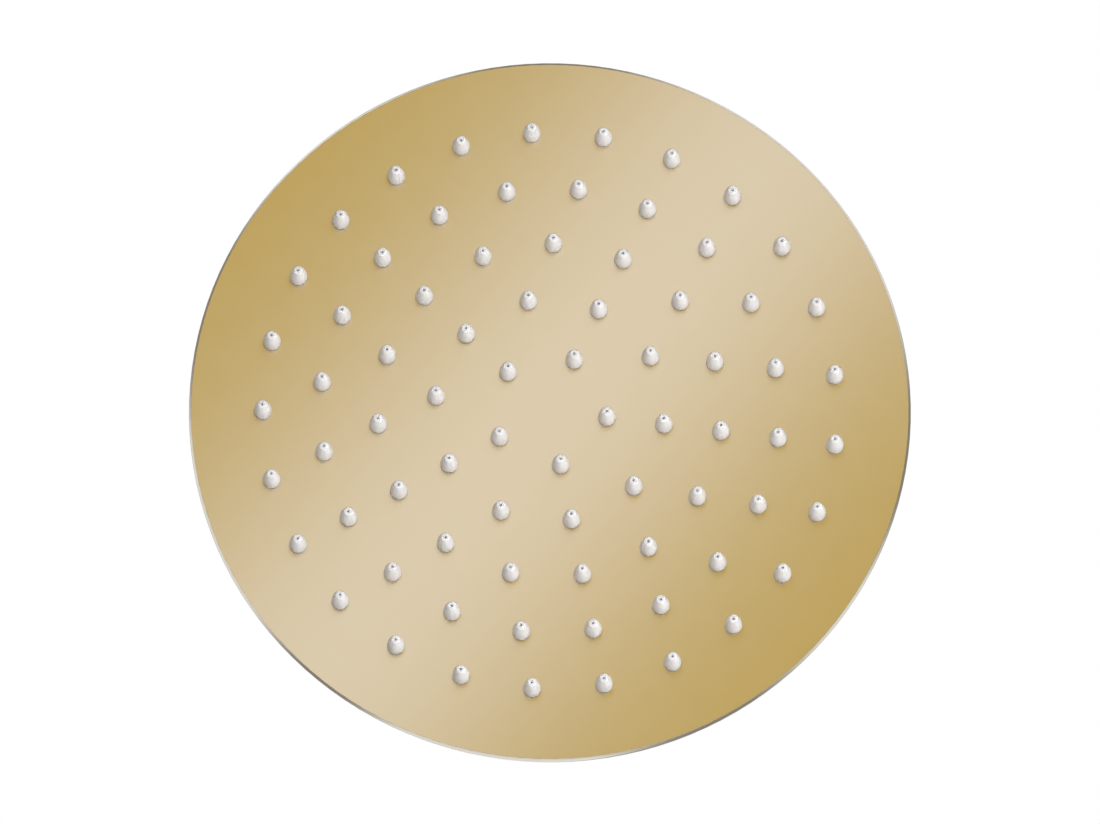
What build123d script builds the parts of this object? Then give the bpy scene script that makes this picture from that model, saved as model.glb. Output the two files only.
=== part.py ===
from build123d import *
from math import acos, asin, cos, degrees, radians, sin, sqrt, tan
import os

# Round rain shower head: two thin steel skins on a polished rim ring, pressed silicone nozzles in the
# lower skin, and a brass ball joint on the back that screws onto a half inch shower arm.
# Millimetres and degrees. +Z is up, the spray goes down, and the origin is on the inlet's axis where
# its thread begins, at the foot of the socket's lead-in chamfer.

# Head plates
head_diameter = 200.0
sheet_thickness = 0.6
water_gap = 0.8
rim_nose_reach = 0.7
rim_tongue_width = 2.5
stud_diameter = 5.0
stud_count = 10

# Dome that carries the inlet on the back plate
dome_rise = 5.2
dome_run = 15.0
dome_land_margin = 1.2

# Nozzles: the second ring holds twice as many as the first, the third three times, and so on
nozzle_ring_count = 5
first_ring_nozzles = 5
nozzle_edge_margin = 19.8
nozzle_base_diameter = 4.9
nozzle_tip_diameter = 2.3
nozzle_tip_radius = 0.25
nozzle_outlet_diameter = 0.7
nozzle_outlet_length = 3.0
nozzle_reach = 7.6
nozzle_shoulder = 0.55
nozzle_wall = 0.55
nozzle_flange_lip = 0.55
nozzle_flange_thickness = 0.35
nozzle_flange_taper = 0.2

# Ball joint
ball_diameter = 24.0
water_bore_diameter = 8.0
stem_wall = 2.0
tilt_limit = 15.0
tilt_margin = 1.5
swing_gap = 0.8
friction_ring_thickness = 1.45
friction_ring_lower_polar = 80.0
seal_section_diameter = 2.0
bowl_gap = 0.4

# Inlet neck, welded into the dome, and the nut that closes the joint on it
gland_wall = 1.6
gland_lip = 3.2
nut_wall = 2.4
nut_lip_height = 1.5
nut_mouth_flare = 38.0
nut_crown_angle = 40.0
nut_top_land = 2.4
nut_foot_chamfer = 0.8
nut_thread_length = 7.5
nut_foot_gap = 0.5
neck_top_gap = 0.7
neck_flange_thickness = 2.0
neck_outlet_diameter = 15.0
neck_spigot_wall = 3.0
neck_spigot_tail = 1.2

# Inlet socket of the ball connector, for a G 1/2 male thread
thread_minor_diameter = 18.631
thread_length = 10.5
thread_relief_depth = 1.3
socket_chamfer = 0.9
collar_wall = 3.3
collar_height = 4.5
collar_edge_chamfer = 0.5
hex_step = 0.9
hex_corner_chamfer = 30.0
shoulder_height = 4.5
shoulder_width = 2.0
pocket_floor = 2.0

# Gasket, filter and flow regulator in the socket
gasket_thickness = 2.0
gasket_bore_diameter = 11.0
pocket_diameter = 15.2
screen_thickness = 0.6
screen_opening = 1.25
screen_bar = 0.5
screen_rim = 1.2
regulator_floor = 1.2
regulator_headroom = 0.9
regulator_wall = 1.0
regulator_hub_diameter = 3.0
regulator_hub_drop = 0.5
regulator_port_diameter = 1.3
regulator_port_count = 8
regulator_ring_section = 1.8
regulator_ring_gap = 0.3

# Clearances
weld_gap = 0.03
nozzle_gap = 0.05
running_gap = 0.05
thread_gap = 0.1
insert_gap = 0.1

# Worked out: head plates
head_radius = head_diameter / 2
head_thickness = 2 * sheet_thickness + water_gap
skin_radius = head_radius - rim_nose_reach
tongue_radius = skin_radius - rim_tongue_width
ring_pitch = (skin_radius - nozzle_edge_margin) / nozzle_ring_count
nozzle_neck_radius = nozzle_base_diameter / 2 - nozzle_shoulder

# Worked out: radii of the ball joint about the ball's centre
ball_radius = ball_diameter / 2
water_bore_radius = water_bore_diameter / 2
stem_radius = water_bore_radius + stem_wall
liner_inner_radius = ball_radius + running_gap
liner_outer_radius = liner_inner_radius + friction_ring_thickness
seat_radius = liner_outer_radius + running_gap
seal_radius = seal_section_diameter / 2
seal_reach = ball_radius + running_gap + seal_radius
bowl_radius = ball_radius + bowl_gap

# Worked out: both tilts together swing the head by this much from the inlet's axis
full_swing = degrees(acos(cos(radians(tilt_limit)) ** 2)) + tilt_margin
mouth_polar = degrees(asin(stem_radius / seat_radius)) + full_swing
friction_ring_upper_polar = mouth_polar + tilt_margin
friction_ring_lowest_polar = friction_ring_lower_polar + tilt_limit


def polar_point(radius, polar):
    """A point (r, z) about the ball's centre, with the polar angle from straight up."""
    return (radius * sin(radians(polar)), radius * cos(radians(polar)))


# Worked out: nut and neck, heights from the ball's centre
mouth_r, mouth_z = polar_point(seat_radius, mouth_polar)
neck_top_z = polar_point(liner_outer_radius, friction_ring_lowest_polar)[1] - neck_top_gap
gland_half_height = seal_radius + running_gap
seal_z = neck_top_z - gland_lip - gland_half_height
seal_r = sqrt(seal_reach**2 - seal_z**2)
ball_end_polar = degrees(acos(seal_z / seal_reach)) + full_swing
gland_radius = seal_r + seal_radius + running_gap
neck_thread_radius = max(gland_radius, bowl_radius) + gland_wall
nut_bore_radius = max(neck_thread_radius + thread_gap, seat_radius)
nut_flat_radius = nut_bore_radius + nut_wall
nut_corner_radius = nut_flat_radius / cos(radians(30))
nut_top_z = mouth_z + nut_lip_height
nut_flare_radius = mouth_r + nut_lip_height * tan(radians(nut_mouth_flare))
nut_top_radius = nut_flare_radius + nut_top_land
nut_foot_z = neck_top_z - nut_thread_length
flange_top_z = nut_foot_z - nut_foot_gap
flange_foot_z = flange_top_z - neck_flange_thickness
neck_outlet_radius = neck_outlet_diameter / 2
spigot_radius = neck_outlet_radius + neck_spigot_wall
spigot_foot_z = flange_foot_z - sheet_thickness - neck_spigot_tail

# Worked out: inlet socket
thread_radius = thread_minor_diameter / 2
relief_radius = thread_radius + thread_relief_depth
socket_depth = thread_length + gasket_thickness
pocket_radius = pocket_diameter / 2
insert_radius = pocket_radius - insert_gap
regulator_top = -socket_depth - screen_thickness
regulator_floor_z = regulator_top - regulator_headroom - regulator_ring_section
pocket_depth = regulator_floor - regulator_floor_z
regulator_ring_radius = (regulator_hub_diameter + regulator_ring_section) / 2 + regulator_ring_gap
connector_foot = pocket_depth + pocket_floor
collar_radius = thread_radius + collar_wall
hex_flat_radius = collar_radius + hex_step
hex_corner_radius = hex_flat_radius / cos(radians(30))

# Worked out: places on the inlet's axis, from the socket's mouth down
swing = radians(full_swing)
stem_rise = nut_top_z * cos(swing) + nut_top_radius * sin(swing) + swing_gap
ball_z = -connector_foot - stem_rise
dome_land_z = ball_z + flange_foot_z
back_z = dome_land_z - dome_rise
face_z = back_z - head_thickness
dome_land_radius = nut_flat_radius + dome_land_margin
dome_foot_radius = dome_land_radius + dome_run


def turned(outline):
    """A solid turned about the Z axis from a closed outline of lines and arcs in (r, z)."""
    return revolve(Plane.XZ * make_face(outline), Axis.Z)


def turned_points(*points):
    """A solid turned about the Z axis from straight runs between (r, z) points."""
    return turned(Polyline(*points, close=True))


def pipe(outer, inner, bottom, top):
    """A round sleeve between two heights."""
    return turned_points((inner, bottom), (outer, bottom), (outer, top), (inner, top))


def disc(radius, bottom, top):
    """A solid round disc between two heights."""
    return turned_points((0, bottom), (radius, bottom), (radius, top), (0, top))


def sphere_zone(inner, outer, upper_polar, lower_polar):
    """A ring with spherical inner and outer faces about the ball's centre and radial ends."""
    middle_polar = (upper_polar + lower_polar) / 2
    outer_arc = ThreePointArc(*(polar_point(outer, a) for a in (upper_polar, middle_polar, lower_polar)))
    inner_arc = ThreePointArc(*(polar_point(inner, a) for a in (lower_polar, middle_polar, upper_polar)))
    lower_end = Line(outer_arc @ 1, inner_arc @ 0)
    upper_end = Line(inner_arc @ 1, outer_arc @ 0)
    return turned([outer_arc, lower_end, inner_arc, upper_end])


def hexagon_bar(flat_radius, bottom, top):
    """A six-sided bar between two heights."""
    outline = RegularPolygon(flat_radius, 6, major_radius=False)
    return Pos(0, 0, bottom) * extrude(outline, top - bottom)


def at_ball(piece):
    """Moves a piece made about the ball's centre to its place."""
    return Pos(0, 0, ball_z) * piece


# Nozzle pattern

def ring_places():
    """One set of places for each ring of nozzles, on the outer side of the face plate."""
    rings = range(1, nozzle_ring_count + 1)
    return [PolarLocations(k * ring_pitch, k * first_ring_nozzles) for k in rings]


def nozzle():
    """A bulging silicone cone that snaps into its hole, with a flange behind and a funnel to its outlet."""
    root = sheet_thickness + nozzle_flange_thickness
    flange_radius = nozzle_neck_radius + nozzle_flange_lip
    base = (nozzle_base_diameter / 2, 0)
    tip = (nozzle_tip_diameter / 2, -nozzle_reach)
    bulge = TangentArc(base, tip, tangent=(0, -1))
    inside = Polyline(
        tip,
        (nozzle_outlet_diameter / 2, -nozzle_reach),
        (nozzle_outlet_diameter / 2, nozzle_outlet_length - nozzle_reach),
        (nozzle_neck_radius - nozzle_wall, root),
        (flange_radius - nozzle_flange_taper, root),
        (flange_radius, sheet_thickness),
        (nozzle_neck_radius, sheet_thickness),
        (nozzle_neck_radius, 0),
        base,
    )
    section = make_face([bulge, inside])
    tip_corner = section.vertices().sort_by_distance(tip)[0]
    return revolve(Plane.XZ * fillet(tip_corner, nozzle_tip_radius), Axis.Z)


def nozzle_ring(places):
    """The nozzles of one ring, as separate solids."""
    return Compound([place * Pos(0, 0, face_z) * nozzle() for place in places])


# Head

def face_plate():
    """Flat lower skin with one hole for each nozzle's neck."""
    top = face_z + sheet_thickness
    hole = disc(nozzle_neck_radius + nozzle_gap, face_z, top)
    holes = [place * hole for places in ring_places() for place in places]
    return disc(skin_radius - weld_gap, face_z, top) - holes


def back_plate():
    """Upper skin: flat, then drawn up in an S curve to a flat land round the inlet."""
    rise = dome_rise / 2
    half_run = dome_run / 2
    middle = (dome_land_radius + half_run, back_z + rise)
    hole = spigot_radius + weld_gap
    edge = skin_radius - weld_gap

    def skin(drop):
        """Lines of one side of the sheet, from the rim to the hole."""
        flat = Line((edge, back_z - drop), (dome_foot_radius, back_z - drop))
        foot = TangentArc(flat @ 1, (middle[0], middle[1] - drop), tangent=(-1, 0))
        shoulder = TangentArc(foot @ 1, (dome_land_radius, dome_land_z - drop), tangent=foot % 1)
        land = Line(shoulder @ 1, (hole, dome_land_z - drop))
        return [flat, foot, shoulder, land]

    upper = skin(0)
    lower = skin(sheet_thickness)
    rim = Line(upper[0] @ 0, lower[0] @ 0)
    throat = Line(upper[-1] @ 1, lower[-1] @ 1)
    return turned(upper + lower + [rim, throat])


def edge_ring():
    """Polished rim: a round nose outside and a tongue that parts the two skins."""
    tongue_foot = face_z + sheet_thickness
    tongue_top = back_z - sheet_thickness
    nose = ThreePointArc(
        (skin_radius, face_z), (head_radius, (face_z + back_z) / 2), (skin_radius, back_z)
    )
    inside = Polyline(
        (skin_radius, back_z),
        (skin_radius, tongue_top),
        (tongue_radius, tongue_top),
        (tongue_radius, tongue_foot),
        (skin_radius, tongue_foot),
        (skin_radius, face_z),
    )
    return turned([nose, inside])


def spacer_studs():
    """Small discs, welded to both skins, in the first gap between nozzle rings outside the dome."""
    inner_limit = dome_foot_radius + stud_diameter / 2
    gaps = [(k + 0.5) * ring_pitch for k in range(1, nozzle_ring_count)]
    radius = next(r for r in gaps if r > inner_limit)
    stud = disc(stud_diameter / 2, face_z + sheet_thickness, back_z - sheet_thickness)
    return Compound([place * stud for place in PolarLocations(radius, stud_count)])


# Ball joint

def inlet_neck():
    """Threaded neck with the ball's bowl, the seal's groove and a spigot that goes into the dome."""
    outside = turned_points(
        (0, spigot_foot_z),
        (spigot_radius, spigot_foot_z),
        (spigot_radius, flange_foot_z),
        (nut_flat_radius, flange_foot_z),
        (nut_flat_radius, flange_top_z),
        (neck_thread_radius, flange_top_z),
        (neck_thread_radius, neck_top_z),
        (0, neck_top_z),
    )
    groove = pipe(gland_radius, stem_radius, seal_z - gland_half_height, seal_z + gland_half_height)
    outlet = disc(neck_outlet_radius, spigot_foot_z, neck_top_z)
    return at_ball(outside - Sphere(bowl_radius) - groove - outlet)


def retaining_nut():
    """Domed hexagon nut with a spherical seat for the friction ring and a flared mouth."""
    crown_drop = (nut_corner_radius - nut_top_radius) * tan(radians(nut_crown_angle))
    blank = turned_points(
        (0, nut_foot_z),
        (nut_corner_radius - nut_foot_chamfer, nut_foot_z),
        (nut_corner_radius, nut_foot_z + nut_foot_chamfer),
        (nut_corner_radius, nut_top_z - crown_drop),
        (nut_top_radius, nut_top_z),
        (0, nut_top_z),
    )
    flare = turned_points(
        (0, mouth_z), (mouth_r, mouth_z), (nut_flare_radius, nut_top_z), (0, nut_top_z)
    )
    thread = disc(nut_bore_radius, nut_foot_z, 0)
    body = blank & hexagon_bar(nut_flat_radius, nut_foot_z, nut_top_z)
    return at_ball(body - Sphere(seat_radius) - thread - flare)


def friction_ring():
    """Slippery plastic liner between the ball and the nut."""
    return at_ball(
        sphere_zone(
            liner_inner_radius,
            liner_outer_radius,
            friction_ring_upper_polar,
            friction_ring_lower_polar,
        )
    )


def ball_seal():
    """Rubber ring in the neck's groove, on the lower half of the ball."""
    return at_ball(Pos(0, 0, seal_z) * Torus(seal_r, seal_radius))


# Connector

def ball_connector():
    """Turned brass: a threaded socket in a hexagon, a stem and the ball below."""
    top = socket_chamfer
    hex_top = top - collar_height
    hex_foot = -connector_foot + shoulder_height
    corner_drop = (hex_corner_radius - collar_radius) * tan(radians(hex_corner_chamfer))
    hex_blank = turned_points(
        (0, hex_foot),
        (collar_radius, hex_foot),
        (hex_corner_radius, hex_foot + corner_drop),
        (hex_corner_radius, hex_top - corner_drop),
        (collar_radius, hex_top),
        (0, hex_top),
    )
    hex_band = hex_blank & hexagon_bar(hex_flat_radius, hex_foot, hex_top)
    body = turned_points(
        (0, ball_z),
        (stem_radius, ball_z),
        (stem_radius, -connector_foot),
        (stem_radius + shoulder_width, -connector_foot),
        (collar_radius, hex_foot),
        (collar_radius, top - collar_edge_chamfer),
        (collar_radius - collar_edge_chamfer, top),
        (0, top),
    )
    ball_end_z = polar_point(ball_radius, ball_end_polar)[1]
    ball = Sphere(ball_radius) & disc(ball_diameter, ball_end_z, ball_diameter)
    mouth = turned_points((0, top), (thread_radius + socket_chamfer, top), (thread_radius, 0), (0, 0))
    socket = disc(thread_radius, -thread_length, 0)
    relief = disc(relief_radius, -socket_depth, -thread_length)
    pocket = disc(pocket_radius, -pocket_depth, 0)
    bore = disc(water_bore_radius, ball_z + ball_end_z, 0)
    return body + hex_band + at_ball(ball) - mouth - socket - relief - pocket - bore


def inlet_gasket():
    """Flat rubber washer in the relief below the thread, which keeps it from falling out."""
    return pipe(relief_radius - insert_gap, gasket_bore_diameter / 2, -socket_depth, -thread_length)


def filter_screen():
    """Thin steel strainer with a plain rim and a square grid of openings."""
    pitch = screen_opening + screen_bar
    reach = insert_radius - screen_rim
    count = 2 * int(reach / pitch) + 1
    opening = Pos(0, 0, regulator_top) * extrude(Rectangle(screen_opening, screen_opening), screen_thickness)
    corner = screen_opening / sqrt(2)
    grid = [p for p in GridLocations(pitch, pitch, count, count) if p.position.length + corner < reach]
    return disc(insert_radius, regulator_top, -socket_depth) - [place * opening for place in grid]


def flow_regulator():
    """Moulded cup with a hub and a ring of ports through its floor."""
    hub_radius = regulator_hub_diameter / 2
    hub_top = regulator_top - regulator_hub_drop
    cup = turned_points(
        (0, -pocket_depth),
        (insert_radius, -pocket_depth),
        (insert_radius, regulator_top),
        (insert_radius - regulator_wall, regulator_top),
        (insert_radius - regulator_wall, regulator_floor_z),
        (hub_radius, regulator_floor_z),
        (hub_radius, hub_top),
        (0, hub_top),
    )
    port = disc(regulator_port_diameter / 2, -pocket_depth, regulator_floor_z)
    return cup - [place * port for place in PolarLocations(regulator_ring_radius, regulator_port_count)]


def regulator_ring():
    """Elastic ring over the ports, which narrows them as the pressure rises."""
    section = regulator_ring_section / 2
    return Pos(0, 0, regulator_floor_z + section + running_gap) * Torus(regulator_ring_radius, section)


pieces = {
    "face_plate": face_plate(),
    "back_plate": back_plate(),
    "edge_ring": edge_ring(),
    "spacer_studs": spacer_studs(),
    "inlet_neck": inlet_neck(),
    "retaining_nut": retaining_nut(),
    "friction_ring": friction_ring(),
    "ball_seal": ball_seal(),
    "ball_connector": ball_connector(),
    "inlet_gasket": inlet_gasket(),
    "filter_screen": filter_screen(),
    "flow_regulator": flow_regulator(),
    "regulator_ring": regulator_ring(),
}
for number, places in enumerate(ring_places(), start=1):
    pieces[f"nozzle_ring_{number}"] = nozzle_ring(places)

os.makedirs("parts", exist_ok=True)
for name, piece in pieces.items():
    export_step(piece, f"parts/{name}.step")
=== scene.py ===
from math import cos, hypot, pi, radians, sin

import bmesh
import bpy
from mathutils import Matrix, Vector


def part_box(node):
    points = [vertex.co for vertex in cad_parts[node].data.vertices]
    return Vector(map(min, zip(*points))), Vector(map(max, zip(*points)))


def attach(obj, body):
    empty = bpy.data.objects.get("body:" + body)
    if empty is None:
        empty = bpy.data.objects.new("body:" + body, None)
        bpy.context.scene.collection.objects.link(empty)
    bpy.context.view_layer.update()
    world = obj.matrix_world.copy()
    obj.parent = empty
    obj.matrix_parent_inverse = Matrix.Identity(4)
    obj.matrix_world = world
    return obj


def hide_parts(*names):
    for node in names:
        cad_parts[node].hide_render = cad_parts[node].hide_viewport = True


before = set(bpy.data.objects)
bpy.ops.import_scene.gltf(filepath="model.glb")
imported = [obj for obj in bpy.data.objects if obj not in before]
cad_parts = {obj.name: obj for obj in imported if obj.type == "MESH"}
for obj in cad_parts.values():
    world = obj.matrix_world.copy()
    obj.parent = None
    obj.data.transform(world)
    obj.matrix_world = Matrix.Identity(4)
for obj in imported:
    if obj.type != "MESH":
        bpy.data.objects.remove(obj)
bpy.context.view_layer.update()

# Looks of a round rain shower head: pale gold sheet, white silicone nozzles, a steel rim and a brass
# ball joint. Everything is in metres, in the part's own frame: the spray goes down, along -Z.

MM = 0.001

# Places read from the part
face_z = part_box("face_plate")[0].z
rim_low, rim_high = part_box("edge_ring")
head_radius = rim_high.x
rim_middle = (rim_low + rim_high) / 2

# Camera: below the head, leaning towards +Y, and turned so that each ring's first nozzle is at the right
camera_distance = 8.0
camera_lean = radians(14.6)
camera_turn = radians(-7.17)
camera_half_width = 152.29 * MM
camera_aim_right = 0.03 * MM
camera_aim_up = -0.09 * MM
sensor_width = 36.0

# Floor, half a metre below the camera
floor_z = -8.3
floor_width = 60.0
floor_glow = 0.6

# Card below the face, which the gold mirrors: plain in the middle, then fading out. Its cool strip turns
# warm over a reach that is a share of the head's radius
band_card_drop = 0.25
band_card_radius = 0.25
band_card_plain_radius = 0.15
band_strength = 2.35
band_angle = radians(140)
band_reach = 0.75

# Striped card above the back
ceiling_card_rise = 0.3
ceiling_card_radius = 1.5
ceiling_card_plain_radius = 1.2
ceiling_strength = 1.15
ceiling_stripe_period = 0.42
ceiling_stripe_angle = radians(20)

# Dark stretches of the rim: where the middle of each is, and how far it fades to both sides, in degrees
# round the picture. Each mirrors a grey flag with soft sides, and the core is the plain share of its width
rim_dark_stretches = [(-6, 28), (90, 27), (161, 28), (231, 20), (297, 28)]
flag_distance = 0.16
flag_core_share = 0.2
flag_low = -0.20
flag_high = 0.16

# Light: the even fill is a share of plain white. The key comes from the right and low in the picture,
# the face lamp from the camera's side, and the top lamp lights the back
fill_level = 0.40
key_watts = 12.2
key_size = 1.2
key_angle = radians(-32)
key_reach = 0.95
key_drop = 0.7
face_watts = 6.0
face_size = 0.8
face_distance = 1.2
top_watts = 11.0
top_size = 0.8
top_place = Vector((-0.5, 0.6, 1.1))

# G 1/2 thread of the inlet socket. Its run-out at both ends is in turns
thread_crest_radius = 18.631 / 2 * MM
thread_depth = 1.162 * MM
thread_pitch = 1.814 * MM
thread_length = 10.5 * MM
thread_run_out = 0.7
thread_columns = 96
thread_rows = 84
wall_slack = 0.02 * MM
weld_distance = 0.001 * MM
sharp_angle = radians(35)


def linear(hex_colour):
    """Linear RGBA of an sRGB hex colour such as D2BC91."""
    shares = [int(hex_colour[i : i + 2], 16) / 255 for i in (0, 2, 4)]
    return [s / 12.92 if s <= 0.04045 else ((s + 0.055) / 1.055) ** 2.4 for s in shares] + [1.0]


def add_node(tree, kind, inputs={}, **settings):
    """Adds one node. Settings are its own properties, and inputs are values or other nodes' sockets."""
    made = tree.nodes.new("ShaderNode" + kind)
    for name, value in settings.items():
        setattr(made, name, value)
    for socket, value in inputs.items():
        if isinstance(value, bpy.types.NodeSocket):
            tree.links.new(value, made.inputs[socket])
        else:
            made.inputs[socket].default_value = value
    return made


def new_material(name):
    """A material with an empty node tree, and that tree."""
    material = bpy.data.materials.new(name)
    material.use_nodes = True
    material.node_tree.nodes.clear()
    return material, material.node_tree


# Materials

def grain_colour(tree, grain_size, detail, dark, light):
    """A grain of a real size, and the colour that it mixes from two close ones."""
    # The grain of a moulding or of plain steel is finer than this: it is as coarse as it needs to show
    place = add_node(tree, "TexCoord").outputs["Object"]
    grain = add_node(tree, "TexNoise", {"Vector": place, "Scale": 1 / grain_size, "Detail": detail})
    share = grain.outputs["Fac"]
    colour = add_node(tree, "Mix", {0: share, 6: linear(dark), 7: linear(light)}, data_type="RGBA")
    return share, colour.outputs[2]


def polished_metal(name, haze_size, detail, dark, light, clear, hazy, edge_radius=None):
    """Metal with a faint haze from polishing: its colour and its gloss vary a little together."""
    material, tree = new_material(name)
    haze, colour = grain_colour(tree, haze_size, detail, dark, light)
    roughness = add_node(tree, "MapRange", {"Value": haze, "To Min": clear, "To Max": hazy})
    finish = {"Base Color": colour, "Metallic": 1.0, "Roughness": roughness.outputs["Result"]}
    if edge_radius:
        edges = add_node(tree, "Bevel", {"Radius": edge_radius}, samples=12)
        finish["Normal"] = edges.outputs["Normal"]
    surface = add_node(tree, "BsdfPrincipled", finish)
    add_node(tree, "OutputMaterial", {"Surface": surface.outputs["BSDF"]})
    return material


def nozzle_silicone():
    """Moulded silicone: a soft, warm white with a slight sheen, and a thin tip that lets light in."""
    material, tree = new_material("moulded_white_silicone")
    grain, colour = grain_colour(tree, 0.6 * MM, 3.0, "F1ECED", "F6F1F2")
    bump = add_node(tree, "Bump", {"Height": grain, "Strength": 0.15, "Distance": 0.05 * MM})
    surface = add_node(
        tree,
        "BsdfPrincipled",
        {
            "Base Color": colour,
            "Roughness": 0.38,
            "IOR": 1.41,
            "Subsurface Weight": 1.0,
            "Subsurface Radius": (1.0, 0.95, 0.92),
            "Subsurface Scale": 3.0 * MM,
            "Normal": bump.outputs["Normal"],
        },
    )
    add_node(tree, "OutputMaterial", {"Surface": surface.outputs["BSDF"]})
    return material


def inner_piece(name, grain_size, dark, light, roughness, ior=1.5, metallic=0.0):
    """Even finish of a small inner piece, with a fine grain in its colour."""
    material, tree = new_material(name)
    colour = grain_colour(tree, grain_size, 3.0, dark, light)[1]
    finish = {"Base Color": colour, "Metallic": metallic, "Roughness": roughness, "IOR": ior}
    surface = add_node(tree, "BsdfPrincipled", finish)
    add_node(tree, "OutputMaterial", {"Surface": surface.outputs["BSDF"]})
    return material


# Stainless sheet, satin-polished and vacuum coated in pale gold: a soft, clear sheen
gold_sheet = polished_metal("gold_coated_steel_sheet", 9 * MM, 4.0, "D1BB8F", "D5BF93", 0.28, 0.32)
# Bare stainless ring, buffed bright: a faintly warm silver, nearly a mirror, a little hazy
rim_steel = polished_metal("polished_stainless_steel", 4 * MM, 3.0, "DFDAD0", "E5E0D7", 0.10, 0.18)
# Turned brass with the same gold coat: brighter than the sheet, with broken edges that catch the light
gold_brass = polished_metal(
    "gold_coated_turned_brass", 3 * MM, 4.0, "D1BA8B", "D6C093", 0.15, 0.22, edge_radius=0.25 * MM
)
silicone = nozzle_silicone()
# Natural acetal: a waxy milk white
acetal = inner_piece("white_acetal", 0.5 * MM, "DAD9D3", "E3E2DC", 0.35, ior=1.48)
# Rubber for seals: near black and dull
rubber = inner_piece("black_epdm_rubber", 0.3 * MM, "17171A", "232325", 0.6, ior=1.52)
# Bare stainless steel as it comes: a grey satin
plain_steel = inner_piece("plain_stainless_steel", 0.4 * MM, "B4B3B0", "C0BFBC", 0.3, metallic=1.0)
# Dyed acetal, moulded: dull and even
blue_acetal = inner_piece("blue_acetal_moulding", 0.5 * MM, "5683B0", "5C89B6", 0.4, ior=1.48)

# The nozzle rings, which aren't listed, are silicone
finishes = {
    "face_plate": gold_sheet,
    "back_plate": gold_sheet,
    "edge_ring": rim_steel,
    "spacer_studs": plain_steel,
    "inlet_neck": gold_brass,
    "retaining_nut": gold_brass,
    "friction_ring": acetal,
    "ball_seal": rubber,
    "ball_connector": gold_brass,
    "inlet_gasket": rubber,
    "filter_screen": plain_steel,
    "flow_regulator": blue_acetal,
    "regulator_ring": rubber,
}
for name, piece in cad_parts.items():
    piece.material_slots[0].material = finishes.get(name, silicone)


# Threaded connector

def threaded_connector():
    """The ball connector with a right-hand thread cut into its plain socket wall."""
    shape = bmesh.new()
    shape.from_mesh(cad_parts["ball_connector"].data)
    bmesh.ops.remove_doubles(shape, verts=shape.verts, dist=weld_distance)

    def on_wall(vertex):
        """Whether a vertex lies on the plain wall that the thread takes the place of."""
        at_crest = abs(hypot(vertex.co.x, vertex.co.y) - thread_crest_radius) < wall_slack
        return at_crest and -thread_length - wall_slack < vertex.co.z < wall_slack

    plain_wall = [face for face in shape.faces if all(on_wall(v) for v in face.verts)]
    bmesh.ops.delete(shape, geom=plain_wall, context="FACES")

    turns = thread_length / thread_pitch
    rings = []
    for row in range(thread_rows + 1):
        height = turns * row / thread_rows
        end_fade = min(1.0, height / thread_run_out, (turns - height) / thread_run_out)
        z = height * thread_pitch - thread_length
        ring = []
        for column in range(thread_columns):
            share = column / thread_columns
            groove = 0.5 - 0.5 * cos(2 * pi * (height - share))
            radius = thread_crest_radius + thread_depth * groove * end_fade
            angle = 2 * pi * share
            ring.append(shape.verts.new((radius * cos(angle), radius * sin(angle), z)))
        rings.append(ring)
    for lower, upper in zip(rings, rings[1:]):
        for column in range(thread_columns):
            after = (column + 1) % thread_columns
            shape.faces.new((lower[column], upper[column], upper[after], lower[after]))

    for edge in shape.edges:
        edge.smooth = len(edge.link_faces) == 2 and edge.calc_face_angle() < sharp_angle
    for face in shape.faces:
        face.smooth = True
    mesh = bpy.data.meshes.new("threaded_connector")
    shape.to_mesh(mesh)
    shape.free()
    mesh.materials.append(gold_brass)
    piece = bpy.data.objects.new("threaded_connector", mesh)
    bpy.context.scene.collection.objects.link(piece)
    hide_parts("ball_connector")
    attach(piece, "connector")


threaded_connector()


# Camera

turn = Matrix.Rotation(camera_turn, 3, "Z")
picture_right = turn @ Vector((1, 0, 0))
picture_up = turn @ Vector((0, -cos(camera_lean), -sin(camera_lean)))
towards_camera = turn @ Vector((0, sin(camera_lean), -cos(camera_lean)))
high_side = turn @ Vector((0, -1, 0))

lens = bpy.data.cameras.new("camera")
lens.sensor_width = sensor_width
lens.lens = sensor_width / 2 * camera_distance / camera_half_width
camera = bpy.data.objects.new("camera", lens)
aim = rim_middle + camera_aim_right * picture_right + camera_aim_up * picture_up
axes = Matrix((picture_right, picture_up, towards_camera)).transposed().to_4x4()
camera.matrix_world = Matrix.Translation(aim + camera_distance * towards_camera) @ axes
bpy.context.scene.collection.objects.link(camera)
bpy.context.scene.camera = camera


# Studio

upwards = Vector((0, 0, 1))


def across_picture(angle):
    """Level direction that points this way in the picture: 0 is right, a quarter turn is up."""
    return cos(angle) * picture_right + sin(angle) * high_side


def studio_sheet(name, width, height, material, place, sideways, upright):
    """A flat rectangle that belongs to the studio, not to the part."""
    x, y = width / 2, height / 2
    mesh = bpy.data.meshes.new(name)
    mesh.from_pydata([(-x, -y, 0), (x, -y, 0), (x, y, 0), (-x, y, 0)], [], [(0, 1, 2, 3)])
    mesh.materials.append(material)
    sheet = bpy.data.objects.new(name, mesh)
    axes = Matrix((sideways, upright, sideways.cross(upright))).transposed().to_4x4()
    sheet.matrix_world = Matrix.Translation(place) @ axes
    bpy.context.scene.collection.objects.link(sheet)
    return sheet


def only_in_reflections(sheet):
    """Hides a studio card from everything but mirrors and polished metal."""
    sheet.visible_camera = False
    sheet.visible_diffuse = False
    sheet.visible_shadow = False
    sheet.visible_transmission = False
    sheet.visible_volume_scatter = False


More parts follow.
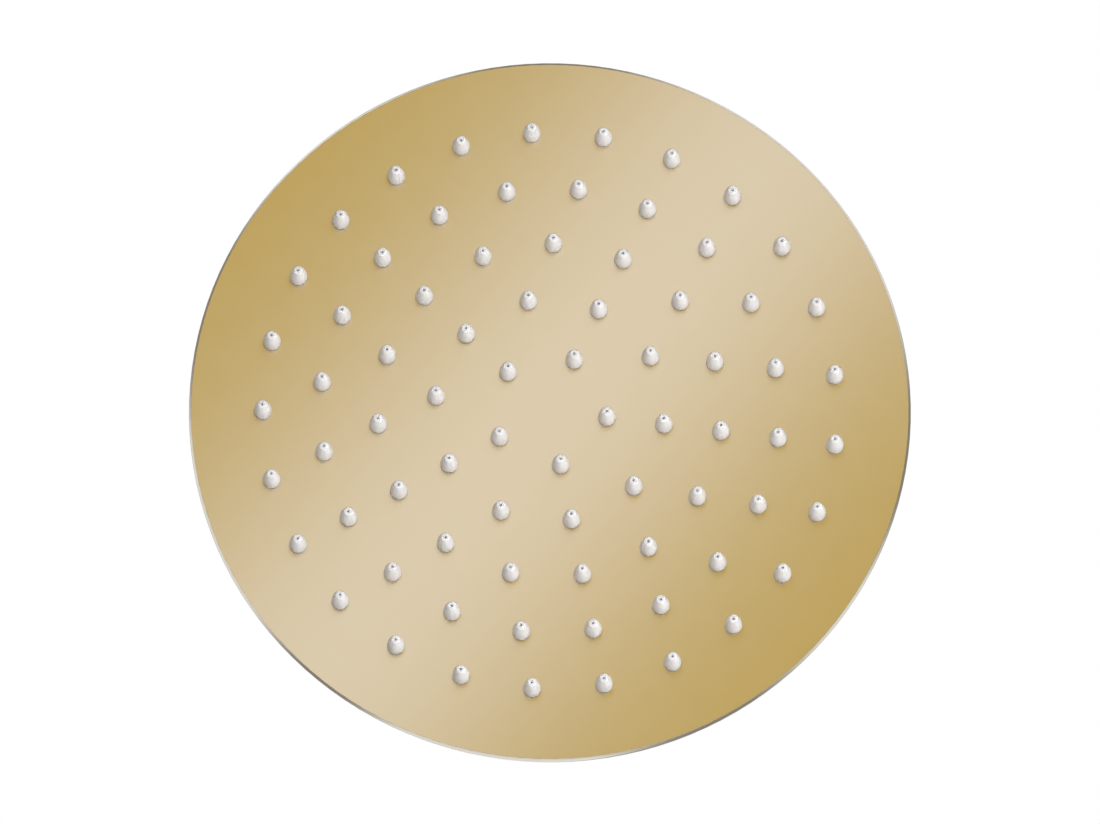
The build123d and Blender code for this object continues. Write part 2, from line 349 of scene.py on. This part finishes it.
def seen_in_metal(tree):
    """1 for what the camera, metal and glass show, also where metal throws it on matt surfaces."""
    path = add_node(tree, "LightPath").outputs
    mirrored = add_node(
        tree, "Math", {0: path["Is Glossy Ray"], 1: path["Is Transmission Ray"]}, operation="MAXIMUM"
    )
    seen = add_node(
        tree, "Math", {0: path["Is Camera Ray"], 1: mirrored.outputs[0]}, operation="MAXIMUM"
    )
    return seen.outputs[0]


def seen_directly(tree):
    """1 for what the camera, metal and glass show, and 0 for light that falls on matt surfaces."""
    depth = add_node(tree, "LightPath").outputs["Diffuse Depth"]
    before_matt = add_node(tree, "Math", {0: depth, 1: 0.5}, operation="LESS_THAN").outputs[0]
    both = add_node(tree, "Math", {0: seen_in_metal(tree), 1: before_matt}, operation="MULTIPLY")
    return both.outputs[0]


def strength(tree, seen, full):
    """Strength of a light source: full where it is seen, and the fill's level elsewhere."""
    level = add_node(
        tree, "Math", {0: seen, 1: full - fill_level, 2: fill_level}, operation="MULTIPLY_ADD"
    )
    return level.outputs[0]


def fading_glow(tree, glow, away, plain, end):
    """Ends a card's material: its glow fades to nothing from one distance to another."""
    edge = add_node(
        tree,
        "MapRange",
        {"Value": away, "From Min": plain, "From Max": end},
        interpolation_type="SMOOTHSTEP",
    )
    clear = add_node(tree, "BsdfTransparent").outputs[0]
    both = add_node(tree, "MixShader", {0: edge.outputs["Result"], 1: glow.outputs[0], 2: clear})
    add_node(tree, "OutputMaterial", {"Surface": both.outputs[0]})


def floor():
    """Pale matt floor below the camera, with a plain white look of its own."""
    material, tree = new_material("pale_floor")
    matt = add_node(tree, "BsdfDiffuse", {"Color": linear("E8E8E6")})
    level = add_node(tree, "Math", {0: seen_directly(tree), 1: floor_glow}, operation="MULTIPLY")
    glow = add_node(tree, "Emission", {"Color": linear("F4F4F2"), "Strength": level.outputs[0]})
    both = add_node(tree, "AddShader", {0: matt.outputs[0], 1: glow.outputs[0]})
    add_node(tree, "OutputMaterial", {"Surface": both.outputs[0]})
    centre = Vector((0, 0, floor_z))
    sideways = Vector((1, 0, 0))
    upright = upwards.cross(sideways)
    studio_sheet("floor", floor_width, floor_width, material, centre, sideways, upright)


def band_card():
    """Card below the face: a cool strip across the middle, warm to both sides, that the gold mirrors."""
    camera_height = camera_distance * cos(camera_lean)
    camera_offset = camera_distance * sin(camera_lean)
    # What the face mirrors of the card is a little wider than the face
    spread = 1 + band_card_drop / camera_height
    material, tree = new_material("band_card")
    place = add_node(tree, "TexCoord").outputs["Object"]
    across = add_node(tree, "SeparateXYZ", {0: place}).outputs["X"]
    away = add_node(tree, "Math", {0: across}, operation="ABSOLUTE").outputs[0]
    share = add_node(
        tree,
        "MapRange",
        {"Value": away, "From Max": band_reach * head_radius * spread},
        interpolation_type="SMOOTHSTEP",
    )
    strip = add_node(
        tree,
        "Mix",
        {0: share.outputs["Result"], 6: linear("C9D6FF"), 7: linear("9C925D")},
        data_type="RGBA",
    )
    level = strength(tree, seen_in_metal(tree), band_strength)
    glow = add_node(tree, "Emission", {"Color": strip.outputs[2], "Strength": level})
    from_centre = add_node(tree, "VectorMath", {0: place}, operation="LENGTH").outputs["Value"]
    fading_glow(tree, glow, from_centre, band_card_plain_radius, band_card_radius)
    centre = rim_middle + high_side * camera_offset * band_card_drop / camera_height
    centre.z = face_z - band_card_drop
    sideways = across_picture(band_angle)
    upright = upwards.cross(sideways)
    width = 2 * band_card_radius
    card = studio_sheet("band_card", width, width, material, centre, sideways, upright)
    only_in_reflections(card)


def ceiling_card():
    """Striped card above the back, so that its flat gold and its fittings have something to mirror."""
    material, tree = new_material("ceiling_card")
    place = add_node(tree, "TexCoord").outputs["Object"]
    # Blender's wave texture has 20 / (2 pi) stripes to the metre at scale 1
    stripes = add_node(
        tree, "TexWave", {"Vector": place, "Scale": 2 * pi / (20 * ceiling_stripe_period)}
    )
    colour = add_node(
        tree,
        "Mix",
        {0: stripes.outputs["Fac"], 6: linear("A9A49A"), 7: linear("FFFFFF")},
        data_type="RGBA",
    )
    level = strength(tree, seen_directly(tree), ceiling_strength)
    glow = add_node(tree, "Emission", {"Color": colour.outputs[2], "Strength": level})
    from_centre = add_node(tree, "VectorMath", {0: place}, operation="LENGTH").outputs["Value"]
    fading_glow(tree, glow, from_centre, ceiling_card_plain_radius, ceiling_card_radius)
    centre = Vector((0, 0, rim_high.z + ceiling_card_rise))
    sideways = across_picture(ceiling_stripe_angle)
    upright = upwards.cross(sideways)
    width = 2 * ceiling_card_radius
    card = studio_sheet("ceiling_card", width, width, material, centre, sideways, upright)
    only_in_reflections(card)


def rim_flags():
    """Soft-edged grey cards round the head, which give the polished rim its dark stretches."""
    material, tree = new_material("grey_flag")
    # Generated coordinates run from 0 to 1 across each flag
    place = add_node(tree, "TexCoord").outputs["Generated"]
    across = add_node(tree, "SeparateXYZ", {0: place}).outputs["X"]
    offset = add_node(tree, "Math", {0: across, 1: 0.5}, operation="SUBTRACT").outputs[0]
    away = add_node(tree, "Math", {0: offset}, operation="ABSOLUTE").outputs[0]
    glow = add_node(tree, "Emission", {"Color": linear("958F87"), "Strength": 1.0})
    fading_glow(tree, glow, away, flag_core_share / 2, 0.5)
    for number, (angle, fade) in enumerate(rim_dark_stretches, start=1):
        on_rim = across_picture(radians(angle))
        mirrored = (on_rim + sin(camera_lean) * high_side).normalized()
        centre = head_radius * on_rim + flag_distance * mirrored
        centre.z = face_z + (flag_low + flag_high) / 2
        width = 2 * radians(fade) * (head_radius + flag_distance)
        height = flag_high - flag_low
        name = f"rim_flag_{number}"
        flag = studio_sheet(name, width, height, material, centre, upwards.cross(mirrored), upwards)
        only_in_reflections(flag)


def softbox(name, place, size, watts, in_metal):
    """A square soft lamp that looks at the head, and shows or not in polished metal."""
    lamp = bpy.data.lights.new(name, "AREA")
    lamp.size = size
    lamp.energy = watts
    box = bpy.data.objects.new(name, lamp)
    box.location = place
    box.visible_glossy = in_metal
    box.rotation_mode = "QUATERNION"
    box.rotation_quaternion = (rim_middle - place).to_track_quat("-Z", "Y")
    bpy.context.scene.collection.objects.link(box)


def studio_world():
    """White surroundings for the eye and polished metal, and a weaker even light on matt surfaces."""
    world = bpy.data.worlds.new("studio")
    world.use_nodes = True
    tree = world.node_tree
    tree.nodes.clear()
    level = strength(tree, seen_directly(tree), 1.0)
    sky = add_node(tree, "Background", {"Color": linear("FFFFFF"), "Strength": level})
    add_node(tree, "OutputWorld", {"Surface": sky.outputs[0]})
    bpy.context.scene.world = world


floor()
band_card()
ceiling_card()
rim_flags()
studio_world()
key_place = rim_middle + key_reach * across_picture(key_angle) - key_drop * upwards
face_place = rim_middle + face_distance * towards_camera
softbox("key_softbox", key_place, key_size, key_watts, in_metal=False)
softbox("face_softbox", face_place, face_size, face_watts, in_metal=False)
softbox("top_softbox", top_place, top_size, top_watts, in_metal=True)

bpy.context.scene.view_settings.view_transform = "Standard"
